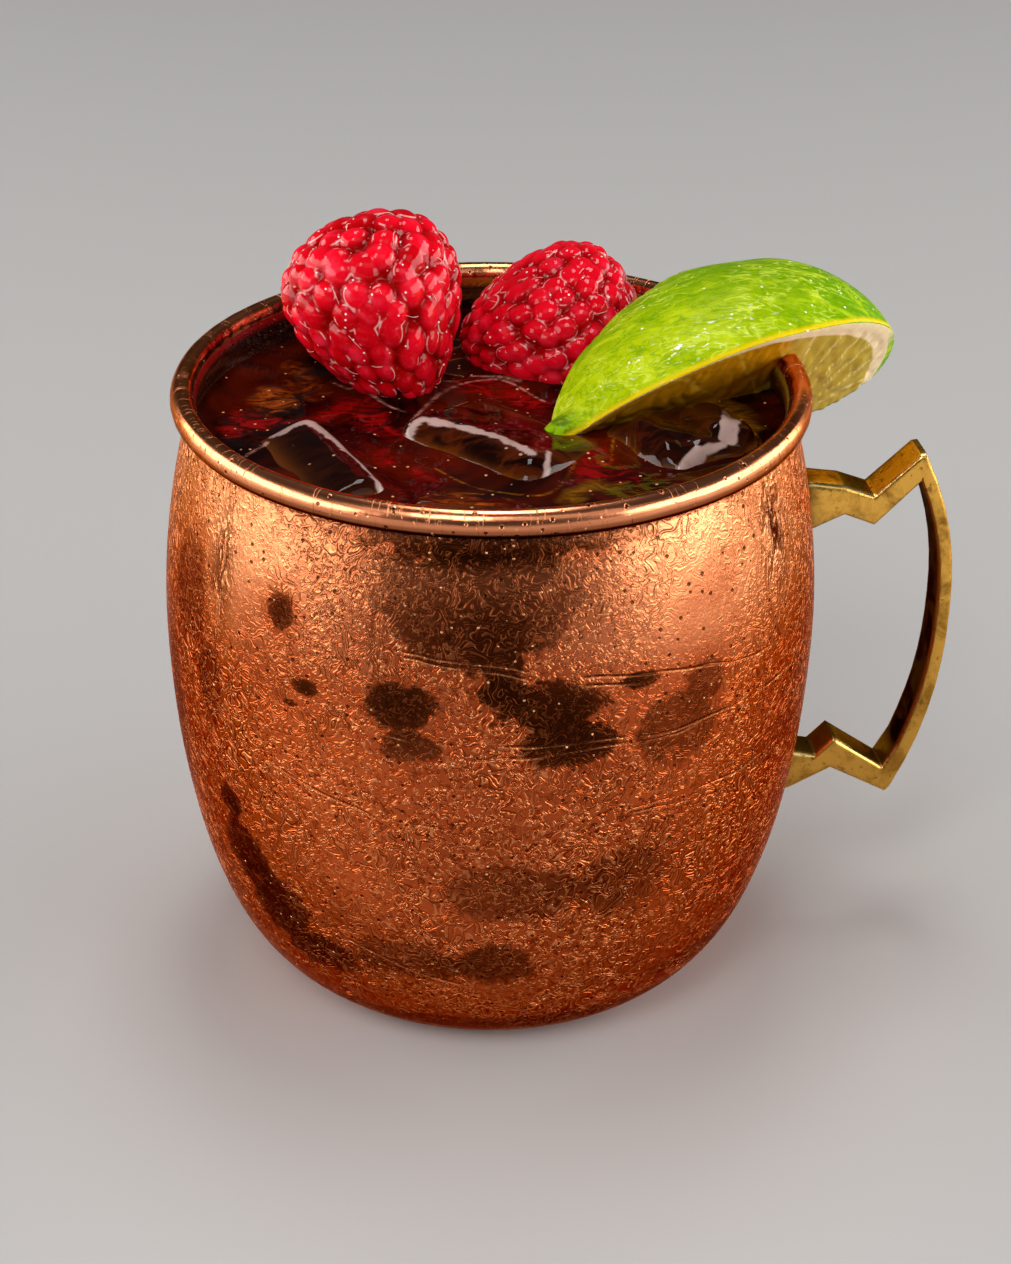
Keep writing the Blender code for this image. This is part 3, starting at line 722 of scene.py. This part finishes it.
def lump_skin(lump, seed, wobble, wave_length, ridge):
    """A rounded box with a low roof, wavy all over.

    From its middle, each way is followed to where it leaves the box. The top then rises to a
    ridge that lies off the middle and falls away on both sides of it by a share of the distance."""
    middle, size, turned, lean, rounding = lump
    offset, rise, front_fall, back_fall, rounded = ridge
    tall = np.linspace(-math.pi / 2, math.pi / 2, LUMP_ROWS + 2)[1:-1, None]
    about = np.linspace(0, math.tau, LUMP_COLUMNS, endpoint=False)[None]
    ways = np.stack([np.cos(tall) * np.cos(about) * size[0], np.cos(tall) * np.sin(about) * size[1],
                     np.sin(tall) * size[2] + 0 * about], -1)
    ways /= np.linalg.norm(ways, axis=-1, keepdims=True)
    reach = np.full(ways.shape[:-1], 24.0)
    plain = ((0, 0, 0), size, 0, 0, rounding)
    for _ in range(60):
        reach -= ice_distance(ways * reach[..., None], plain)
    points = ways * reach[..., None]
    beside = points[..., 1] - offset
    roof = (rise - front_fall * np.logaddexp(0, -beside / rounded) * rounded
            - back_fall * np.logaddexp(0, beside / rounded) * rounded)
    points[..., 2] += roof * np.clip(points[..., 2] / size[2] * 4 - 1, 0, 1)
    points *= 1 + wobble * waves(points, wave_length, seed)[..., None] / 10
    return points @ ice_axes(turned, lean).T + np.array(middle)


# Painted highlights along the edges of each lump, seen from above: half a width, and the
# points they pass.
EDGE_HIGHLIGHTS = {
    "ice_centre": [
        (0.75, [(-12.4, -4.6), (-10.6, -2.2), (-7.6, -4.0), (-3.9, -7.1), (-0.3, -9.8),
                (1.8, -13.6), (3.1, -15.4)]),
        (0.65, [(-12.6, -5.0), (-11.5, -8.0), (-9.8, -10.4), (-7.9, -12.3)]),
        (0.4, [(5.5, -14.7), (4.1, -20.5)]),
        (0.3, [(-3.2, -20.4), (0.3, -23.0), (3.3, -24.6), (5.7, -21.9), (8.0, -17.9)])],
    "ice_left": [
        (1.6, [(-28.9, -0.9), (-27.6, 0.0), (-26.0, 0.2)]),
        (0.9, [(-25.2, 0.6), (-22.8, -4.2), (-20.6, -9.3)]),
        (0.5, [(-20.4, -10.3), (-18.4, -15.8), (-17.0, -21.2)]),
        (0.9, [(-17.3, -22.4), (-16.0, -21.4), (-14.5, -20.4)]),
        (0.3, [(-33.9, -5.9), (-30.9, -3.1)])],
    "ice_right": [
        (0.9, [(14.3, -17.2), (15.4, -13.6), (16.2, -17.8), (18.6, -19.6), (20.8, -20.6),
               (23.4, -18.2), (25.4, -15.9)]),
        (1.2, [(29.9, -13.0), (31.4, -8.4), (32.2, -4.6)]),
        (0.5, [(25.4, -15.9), (29.0, -14.2)])],
    "ice_front": [
        (0.3, [(-13.2, -23.9), (-11.0, -22.1), (-8.3, -21.4)]),
        (0.3, [(-8.3, -21.4), (-5.6, -22.8), (-2.7, -25.6)])],
}
TOPS = {  # the ridge: off the middle, its rise, the fall on both sides, its rounding; then how
    # high and how long the waves are all over, and how dark the lump is
    "ice_centre": ((-4.9, 1.5, 0.26, 0.09, 0.5), 0.08, 9.0, 0.25),
    "ice_left": ((4.3, 1.3, 0.10, 0.35, 0.5), 0.08, 9.0, 0.8),
    "ice_right": ((0.0, 0.9, 0.10, 0.10, 1.5), 0.30, 4.5, 0.6),
    "ice_front": ((0.0, 0.6, 0.12, 0.12, 1.0), 0.08, 9.0, 0.1),
}
ice, tree, shader = finish("wet_ice", Roughness=0.04, IOR=1.31)
spot = place()
swirl = grain(add("Mapping", spot, None, (0, 0, -0.8), (0.6, 1.6, 1.0)), 150, 3, 0.6, 1.5)
# Painted highlight along the edges of the lumps, broken by grain.
white = mark("edge") * fade(grain(spot, 420, 3, 0.6), 0.2, 0.5, 0.55, 1.0)
clear = layers(
    (0.010, 0.0014, 0.0004),
    (fade(swirl, 0.40, 0.66), (0.19, 0.027, 0.004)),
    (mark("shade"), (0.018, 0.0018, 0.0005)),
    (fade(mark("waterline_band"), 0.0, 1.0, 0.0, 0.7), (0.34, 0.085, 0.010)),
    # painted highlight along the edges
    (white, (0.50, 0.34, 0.30)),
    # bright dots: painted glints
    (dots(spot, 620, 0.2, 0.10) * 0.9, (1.0, 0.62, 0.36)))
lead(Base_Color=clear, Transmission_Weight=fade(white, 0.0, 0.6, 0.45, 0.0))
relief(grain(spot, 300, 2, 0.5, 0.5), 0.0002, 0.25)
for number, (name, lump) in enumerate(ICE.items()):
    ridge, wobble, wave_length, shade = TOPS[name]
    points = lump_skin(lump, 20 + number, wobble, wave_length, ridge)
    on_top = points[..., 2] > DRINK_LEVEL - 1.5
    shaken = points + 0.15 * waves(points, 1.6, 70)[..., None]
    edge = np.max([along_path(shaken, path, half) for half, path in EDGE_HIGHLIGHTS[name]], axis=0) * on_top
    # An amber band along the waterline.
    waterline_band = np.exp(-np.abs(points[..., 2] - DRINK_LEVEL - 0.3) / 0.5)
    lump_marks = {"edge": edge, "waterline_band": waterline_band, "shade": shade}
    lump_piece = skin(name + "_lump", points, lump_marks, mat=ice)
    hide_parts(name)
    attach(lump_piece, "root")


# The raspberries: each drupelet is a bead of juice in a thin skin, packed round a hollow core,
# with fine dry hairs left in the creases. One stands with its tip down, the other lies.
def golden_points(count, shuffle, seed):
    """Even points on a ball, each a golden angle on from the last, then moved a little."""
    draw = np.random.default_rng(seed)
    level = 1 - (2 * np.arange(count) + 1) / count
    ring = np.sqrt(1 - level ** 2)
    angle = np.arange(count) * math.pi * (3 - math.sqrt(5))
    points = np.stack([ring * np.cos(angle), ring * np.sin(angle), level], -1)
    points += draw.normal(scale=shuffle, size=points.shape)
    return points / np.linalg.norm(points, axis=1, keepdims=True)


def berry_place(unit, berry):
    """Takes the unit ball to the berry: stretched along its axis, wider to the stalk end."""
    middle, half_length, radius, axis, _ = berry
    turned = np.array(Vector(axis).normalized().to_track_quat("Z", "Y").to_matrix())
    wide = radius * (1 + BERRY_TAPER * unit[..., 2:])
    local = np.concatenate([unit[..., :2] * wide, unit[..., 2:] * half_length], -1)
    return local @ turned.T + np.array(middle)


def drupelet_ball(ways, centres, bulge, sharpness=190.0):
    """Balls set round a sphere: along each way, the soft maximum of where it leaves each ball.

    Also gives the number drawn for the drupelet that each point is on."""
    most, total, own = np.zeros((3, *ways.shape[:-1]))
    draw = np.random.default_rng(5)
    for centre in centres:
        size = bulge * draw.uniform(0.82, 1.12)
        shade = draw.uniform()
        facing = ways @ centre * (1 - size)
        inside_root = size ** 2 - (1 - size) ** 2 + facing ** 2
        leave = np.where(inside_root > 0, facing + np.sqrt(np.clip(inside_root, 0, None)), 0.0)
        leave = np.where(facing > 0, leave, 0.0)
        own = np.where(leave > most, shade, own)
        most = np.maximum(most, leave)
        total += np.exp(sharpness * (leave - 0.9))
    return 0.9 + np.log(total) / sharpness, own


raspberry, tree, shader = finish(
    "raspberry_red", Roughness=0.04, Specular_IOR_Level=0.25, Subsurface_Weight=0.15,
    Subsurface_Radius=(1.0, 0.25, 0.2), Subsurface_Scale=0.002)
spot = place()
# Pale arcs along some creases: painted highlights.
crease_highlights = thin_line(mark("crease"), 0.4, 0.16) * fade(grain(spot, 380, 2, 0.5), 0.54, 0.62)
flesh = layers(
    (0.52, 0.0008, 0.004),
    (mark("own"), (0.90, 0.004, 0.020)),
    (fade(grain(spot, 420, 2), 0.5, 0.75), (0.85, 0.02, 0.05)),
    # darker in the creases: painted shade
    (mark("crease"), (0.34, 0.0003, 0.0004)),
    (crease_highlights * 0.7, (1.0, 0.55, 0.52)),
    # bright dots: painted glints
    (dots(spot, 860, 0.17, 0.30), (1.0, 0.88, 0.85)))
lead(Base_Color=flesh)
relief(grain(spot, 700, 2, 0.5), 0.00016, 0.6)

dry, tree, shader = finish("berry_hair", Roughness=0.5)
lead(Base_Color=tint(grain(place(), 600, 2), (0.70, 0.30, 0.24), (1.0, 0.70, 0.66)))

BERRY_ROWS, BERRY_COLUMNS, HAIRS, HAIR_HALF = 200, 310, 46, 0.0035
for number, (name, berry) in enumerate(BERRIES.items()):
    tall = np.linspace(0, math.pi, BERRY_ROWS + 2)[1:-1, None]
    about = np.linspace(0, math.tau, BERRY_COLUMNS, endpoint=False)[None]
    ways = np.stack([np.sin(tall) * np.cos(about), np.sin(tall) * np.sin(about),
                     np.cos(tall) + 0 * about], -1)
    centres = golden_points(berry[4], 0.045, 30 + number)
    ball, own = drupelet_ball(ways, centres, 2.7 / math.sqrt(berry[4]))
    crease = np.clip((0.984 - ball) / 0.05, 0, 1)
    # Painted light: the right berry's drupelets are drawn lighter, lifting it out of the shade it
    # lies in.
    own = own * (1 - 0.5 * number) + 0.5 * number
    points = berry_place(ways * (0.990 * ball)[..., None], berry)
    berry_piece = skin(name + "_fruit", points, {"own": own, "crease": crease}, mat=raspberry)
    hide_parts(name)
    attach(berry_piece, "root")

    draw = np.random.default_rng(60 + number)
    start = golden_points(HAIRS, 0.1, 40 + number)
    along = np.linspace(0, 1, 8)[None, :, None]
    drift = draw.normal(size=start.shape)
    drift -= (drift * start).sum(1, keepdims=True) * start
    drift /= np.linalg.norm(drift, axis=1, keepdims=True)
    curl = np.cross(start, drift) * draw.uniform(-1, 1, (len(start), 1))
    path = start[:, None] + 0.17 * along * drift[:, None] + 0.10 * along ** 2 * curl[:, None]
    path /= np.linalg.norm(path, axis=-1, keepdims=True)
    path *= 0.955 + 0.03 * np.sin(math.pi * along)
    ring = np.linspace(0, math.tau, 5, endpoint=False)
    side = np.cross(path, drift[:, None])
    side /= np.linalg.norm(side, axis=-1, keepdims=True)
    tube = path[:, :, None] + HAIR_HALF * (side[:, :, None] * np.cos(ring)[:, None]
                                          + path[:, :, None] * np.sin(ring)[:, None])
    hairs = skin(name + "_hairs", berry_place(tube, berry), mat=dry)
    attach(hairs, "root")


# The lime: a wedge cut lengthwise, its flesh slit from the core so that it hooks over the lip.
# Glossy pitted rind, a rim of white pith, and wet flesh in thin-walled sacs.
LIME_TIP, LIME_END = np.array([8.1, -2.6, 76.3]), np.array([59.5, 19.8, 76.3])
LIME_RADIUS, LIME_TIP_BEND, LIME_END_BEND = 20.7, 1.38, 2.95
NEAR_CUT, FAR_CUT = math.radians(38.3), math.radians(28.0)
CORE_SAG = 9.5
LIME_ROWS, RIND_COLUMNS, FACE_COLUMNS = 220, 66, 32
NOSE, NOSE_WAY = (9.6, -3.9, 81.4), (-0.78, -0.62, -0.05)

length_share = -np.cos(np.linspace(0, math.pi, LIME_ROWS + 2))[1:-1]
along = (LIME_END - LIME_TIP) / np.linalg.norm(LIME_END - LIME_TIP)
over = np.array([0.0, 0.0, 1.0])
near = np.cross(along, over)
bend = np.where(length_share < 0, LIME_TIP_BEND, LIME_END_BEND)
girth = LIME_RADIUS * np.sqrt(1 - np.abs(length_share) ** bend)
spine = LIME_TIP + (length_share[:, None] + 1) / 2 * (LIME_END - LIME_TIP)
core = spine - over * (CORE_SAG * ((1 + length_share) / 2) ** 2 * (1 - length_share ** 2))[:, None]


def on_rind(angle):
    """The rind at an angle from straight up: the spine plus the girth turned about it."""
    return spine[:, None] + girth[:, None, None] * (over * np.cos(angle)[..., None]
                                                    + near * np.sin(angle)[..., None])


rind_angle = np.linspace(NEAR_CUT, -FAR_CUT, RIND_COLUMNS)[None]
inward = np.linspace(0, 1, FACE_COLUMNS + 2)[1:-1][None, :, None]
near_edge, far_edge = on_rind(np.array([[NEAR_CUT]])), on_rind(np.array([[-FAR_CUT]]))
far_face = far_edge + (core[:, None] - far_edge) * inward
near_face = core[:, None] + (near_edge - core[:, None]) * np.concatenate([[[[0]]], inward], axis=1)
rind = on_rind(rind_angle)
pores = waves(rind, 1.5, 51, 40) + 0.6 * waves(rind, 0.9, 52, 40)
lumps = waves(rind, 9.0, 53)
outward = over * np.cos(rind_angle)[..., None] + near * np.sin(rind_angle)[..., None]
level_off = np.minimum(1, (girth / 4.0))[:, None]
nose = np.linalg.norm(rind - np.array(NOSE), axis=-1)
rind = rind + np.array(NOSE_WAY) * (4.6 * np.exp(-(nose / 2.7) ** 4))[..., None]
rind = rind - outward * (0.5 * np.exp(-((nose - 3.3) / 0.5) ** 2))[..., None]
rind = rind - outward * (level_off * (0.09 * np.clip(pores, 0, 2) + 0.12 + 0.12 * lumps))[..., None]

gap_in_mm = np.linalg.norm(near_face[:, :, None] - near_edge[None, None, ::3, 0], axis=-1).min(-1)
fan_foot = core[int(np.argmin(np.abs(length_share - 0.36)))]
fan = np.arctan2((near_face - fan_foot) @ over, (near_face - fan_foot) @ along)
rib_near = np.exp(-(np.sin(fan * 11 + 0.15 * waves(near_face, 6.0, 56)) / 0.12) ** 2)
sacs = np.abs(waves(near_face * np.array([1, 1, 0.35]), 3.0, 55))
face_out = np.cross(along, near_edge - core[:, None])
face_out /= np.linalg.norm(face_out, axis=-1, keepdims=True)
face_out *= np.sign((face_out * near).sum(-1, keepdims=True))
fleshy = np.clip((gap_in_mm - 1.6) / 1.0, 0, 1) * np.clip(girth / 6, 0, 1)[:, None]
near_face = near_face - face_out * (fleshy * (0.35 - 0.25 * sacs))[..., None]

wedge = np.concatenate([rind, far_face, near_face], axis=1)
far_gap = np.linalg.norm(far_face - far_edge, axis=-1)


def on_faces(*values):
    """A mark for the whole wedge, from those of its rind, its far face and its near face."""
    shapes = [part.shape[:2] for part in (rind, far_face, near_face)]
    return np.concatenate([np.broadcast_to(*pair) for pair in zip(values, shapes)], axis=1)


FAR_OFF = 9.0
edge_near = on_faces((NEAR_CUT - rind_angle) * girth[:, None], FAR_OFF, FAR_OFF)
share_along = np.broadcast_to(length_share[:, None], edge_near.shape)
lime_marks = {
    "zest": on_faces(1.0, 0.0, 0.0), "depth_in": on_faces(0.0, far_gap, gap_in_mm),
    "edge_near": edge_near, "share_along": share_along, "rib": on_faces(0.0, 0.0, rib_near),
    "nose": on_faces(nose, FAR_OFF, FAR_OFF),
    # 'wet' marks a patch of painted highlights on the rind, towards the tip and near the cut edge.
    "wet": np.exp(-((share_along + 0.38) / 0.34) ** 2 - ((edge_near - 4.2) / 2.6) ** 2)}

lime, tree, shader = finish(
    "lime", Roughness=0.3, IOR=1.33, Specular_IOR_Level=0.08, Subsurface_Weight=0.1,
    Subsurface_Radius=(0.8, 1.0, 0.2), Subsurface_Scale=0.002)
spot = place()
lengthwise = add("Mapping", spot, None, (0, 0, 0.4), (0.5, 1.6, 1.0))
mottle = grain(lengthwise, 300, 4, 0.65, 0.8)
veins = thin_line(grain(lengthwise, 420, 2, 0.5, 1.2), 0.5, 0.06)
wrinkles = thin_line(grain(lengthwise, 360, 3, 0.6, 1.4), 0.44, 0.05)
patchy = fade(grain(spot, 160, 3, 0.6), 0.4, 0.6)
to_end = mark("share_along")
glints = fade(grain(lengthwise, 1100, 2, 0.5, 1.0), 0.64, 0.68)
bruised = tint(fade(grain(spot, 420, 3, 0.6), 0.44, 0.56), (0.22, 0.40, 0.002),
               (0.04, 0.12, 0.001))
green = layers(
    (0.44, 0.56, 0.002),
    # darker green towards the far end and away from the near cut edge
    (fade(to_end, -0.5, 0.7), (0.13, 0.32, 0.001)),
    (fade(mark("edge_near"), 6.0, 18.0, 0.0, 0.85), (0.17, 0.34, 0.001)),
    (fade(mottle, 0.46, 0.66) * 0.6, (0.60, 0.74, 0.012)),
    (fade(mottle, 0.48, 0.32) * 0.5, (0.16, 0.35, 0.001)),
    (veins * fade(patchy, 0.0, 1.0, 0.05, 0.6), (0.76, 0.88, 0.10)),
    (fade(grain(spot, 800, 2, 0.5), 0.58, 0.72, 0.0, 0.3), (0.16, 0.36, 0.001)),
    (wrinkles * fade(patchy, 0.0, 1.0, 0.6, 0.15), (0.12, 0.30, 0.001)),
    (fade(mark("nose"), 3.9, 2.2, 0.0, 0.85), bruised),
    (fade(mark("edge_near"), 1.1, 0.1), (0.85, 0.58, 0.004)),
    # bright dots: painted glints
    (dots(spot, 760, 0.2, 0.2) * 0.85, (1.0, 1.0, 0.75)),
    # painted highlights, gathered in the marked patch
    (mark("wet") * glints, (1.0, 1.0, 0.90)))
pith = tint(grain(spot, 700, 2), (0.78, 0.56, 0.28), (0.92, 0.76, 0.50))
flesh = layers(
    (0.46, 0.32, 0.03),
    (mark("rib"), (0.84, 0.66, 0.24)),
    (fade(grain(spot, 500, 3, 0.6), 0.5, 0.7, 0.0, 0.6), (0.26, 0.17, 0.015)))
# The flesh inside the mug is browner and darker: painted shade, tinted as a painted reflection of
# the drink.
shaded_flesh = tint(mark("rib"), (0.56, 0.24, 0.004), (0.76, 0.44, 0.03))
flesh = tint(fade(to_end, 0.07, 0.17), shaded_flesh, flesh)
rind_depth = mark("depth_in") - fade(to_end, -0.5, 0.8, 0.6, 3.7)
at_end = fade(mark("depth_in"), 1.5, 1.1) * fade(to_end, 0.80, 0.92)
lead(Base_Color=layers(pith, (fade(rind_depth, -0.25, 0.25), flesh), (at_end, green),
                       (fade(mark("zest"), 0.4, 0.6), green)))
relief(grain(spot, 900, 2, 0.5, 0.5) + mottle * 2.0, 0.00015, 0.5)
lime_piece = skin("lime_wedge_fruit", wedge, lime_marks, mat=lime)
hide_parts("lime_wedge")
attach(lime_piece, "root")


# The studio: a pale floor, a wide low soft box at each side, one above the front with a small
# lamp beside it, a narrow one high at the back, and the camera just above the drink.
floor_finish, tree, shader = finish("pale_floor", Roughness=0.6, Base_Color=(0.50, 0.485, 0.47, 1))
bpy.ops.mesh.primitive_plane_add(size=6.0, location=(0, 0, 0))
floor = bpy.context.object
floor.name = "floor"
floor.data.materials.append(floor_finish)

CAMERA_PLACE = Vector((-57.13, -374.58, 250.83)) * MM
CAMERA_TURN, CAMERA_TILT, CAMERA_ROLL = -9.0, 28.09, 0.5


def soft_box(name, side_angle, distance, level, wide, tall, power):
    """A soft box at an angle to the right of the camera, turned to face the mug."""
    bearing = math.radians(-90 + CAMERA_TURN + side_angle)
    where = Vector((math.cos(bearing) * distance, math.sin(bearing) * distance, level))
    lamp = bpy.data.lights.new(name, "AREA")
    lamp.shape, lamp.size, lamp.size_y, lamp.energy = "RECTANGLE", wide, tall, power
    holder = bpy.data.objects.new(name, lamp)
    holder.location = where
    holder.rotation_euler = (Vector((0, 0, 0.05)) - where).to_track_quat("-Z", "Y").to_euler()
    bpy.context.collection.objects.link(holder)


soft_box("left_soft_box", -88, 0.8, 0.23, 1.5, 0.42, 9.6)
soft_box("right_soft_box", 88, 0.8, 0.23, 1.5, 0.42, 10.2)
soft_box("front_soft_box", 0, 0.78, 0.80, 2.0, 0.5, 2.1)
soft_box("front_lamp", -14, 0.68, 0.78, 0.30, 0.40, 2.8)
soft_box("back_soft_box", 180, 0.20, 0.92, 0.24, 0.42, 2.6)

world = bpy.data.worlds.new("studio")
world.use_nodes = True
for socket, value in (("Color", (1, 1, 1, 1)), ("Strength", 0.05)):
    world.node_tree.nodes["Background"].inputs[socket].default_value = value
bpy.context.scene.world = world
bpy.context.scene.view_settings.view_transform = "Standard"

camera = bpy.data.objects.new("camera", bpy.data.cameras.new("camera"))
camera.data.lens = 86.924
camera.matrix_world = (Matrix.Translation(CAMERA_PLACE)
                       @ Matrix.Rotation(math.radians(CAMERA_TURN), 4, "Z")
                       @ Matrix.Rotation(math.radians(90 - CAMERA_TILT), 4, "X")
                       @ Matrix.Rotation(math.radians(CAMERA_ROLL), 4, "Z"))
bpy.context.collection.objects.link(camera)
bpy.context.scene.camera = camera
